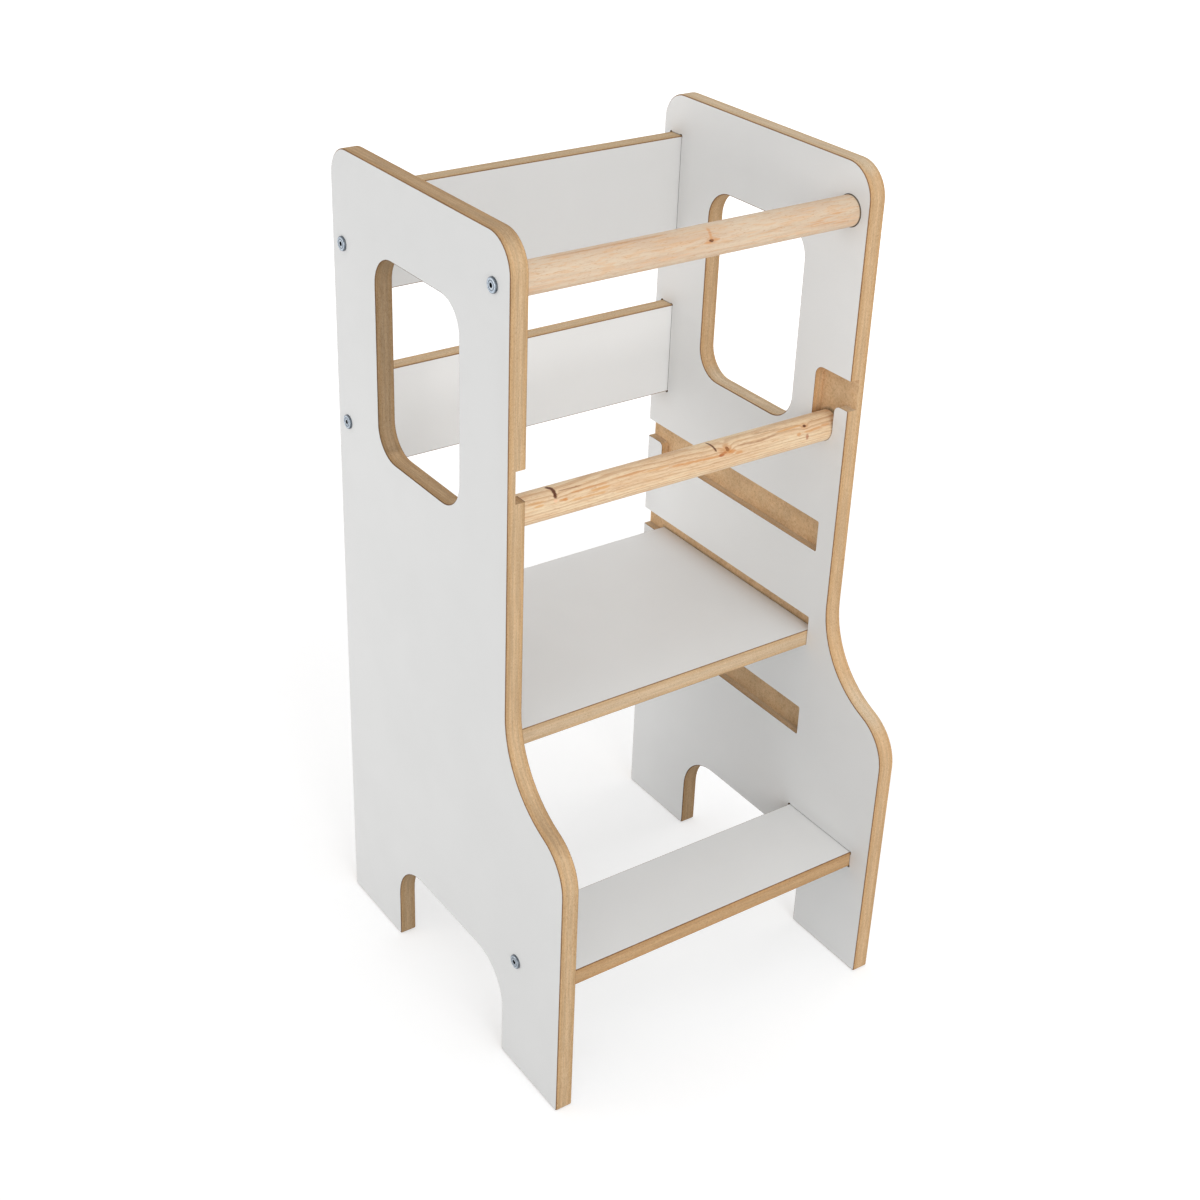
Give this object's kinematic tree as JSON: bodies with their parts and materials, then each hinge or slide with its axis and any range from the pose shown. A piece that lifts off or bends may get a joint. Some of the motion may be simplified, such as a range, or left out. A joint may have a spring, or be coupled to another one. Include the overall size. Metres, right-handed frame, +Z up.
{
  "type": "kitchen helper tower",
  "caption": "Kitchen helper tower for a small child: shouldered side panels with windows and feet, back boards, step, lift-out platform in grooves, top rail and lift-out safety bar.",
  "frame": {"origin": "on the floor under the centre of the tower's bounding box", "axes": "+Z up, X across between the side panels, -Y the entry side with step, safety bar and top rail, +Y the back boards"},
  "size_m": [0.4258, 0.4334, 0.9],
  "materials": {
    "white_faced_board": "matt white faces, bare tan fibreboard edges",
    "pine_rail": "bare sanded pine",
    "pine_bar": "bare sanded pine",
    "zinc_bolt": "bright zinc",
    "zinc_nut": "bright zinc"
  },
  "bodies": {
    "frame": {"right_side_panel": "white_faced_board", "left_side_panel": "white_faced_board", "upper_back_board": "white_faced_board", "lower_back_board": "white_faced_board", "step": "white_faced_board", "top_rail": "pine_rail", "left_upper_back_bolt": "zinc_bolt", "left_upper_back_barrel_nut": "zinc_nut", "right_upper_back_bolt": "zinc_bolt", "right_upper_back_barrel_nut": "zinc_nut", "left_lower_back_bolt": "zinc_bolt", "left_lower_back_barrel_nut": "zinc_nut", "right_lower_back_bolt": "zinc_bolt", "right_lower_back_barrel_nut": "zinc_nut", "left_top_rail_bolt": "zinc_bolt", "left_top_rail_barrel_nut": "zinc_nut", "right_top_rail_bolt": "zinc_bolt", "right_top_rail_barrel_nut": "zinc_nut", "left_step_bolt": "zinc_bolt", "left_step_barrel_nut": "zinc_nut", "right_step_bolt": "zinc_bolt", "right_step_barrel_nut": "zinc_nut"},
    "platform": {"platform": "white_faced_board"},
    "safety_bar": {"safety_bar": "pine_bar"}
  },
  "joints": [
    {"name": "platform_lift", "type": "slide", "parent": "frame", "child": "platform", "axis": [0, 0, 1], "range_m": [0, 0.0165]},
    {"name": "safety_bar_lift", "type": "slide", "parent": "frame", "child": "safety_bar", "axis": [0, 0, 1], "range_m": [0, 0.046]}
  ]
}
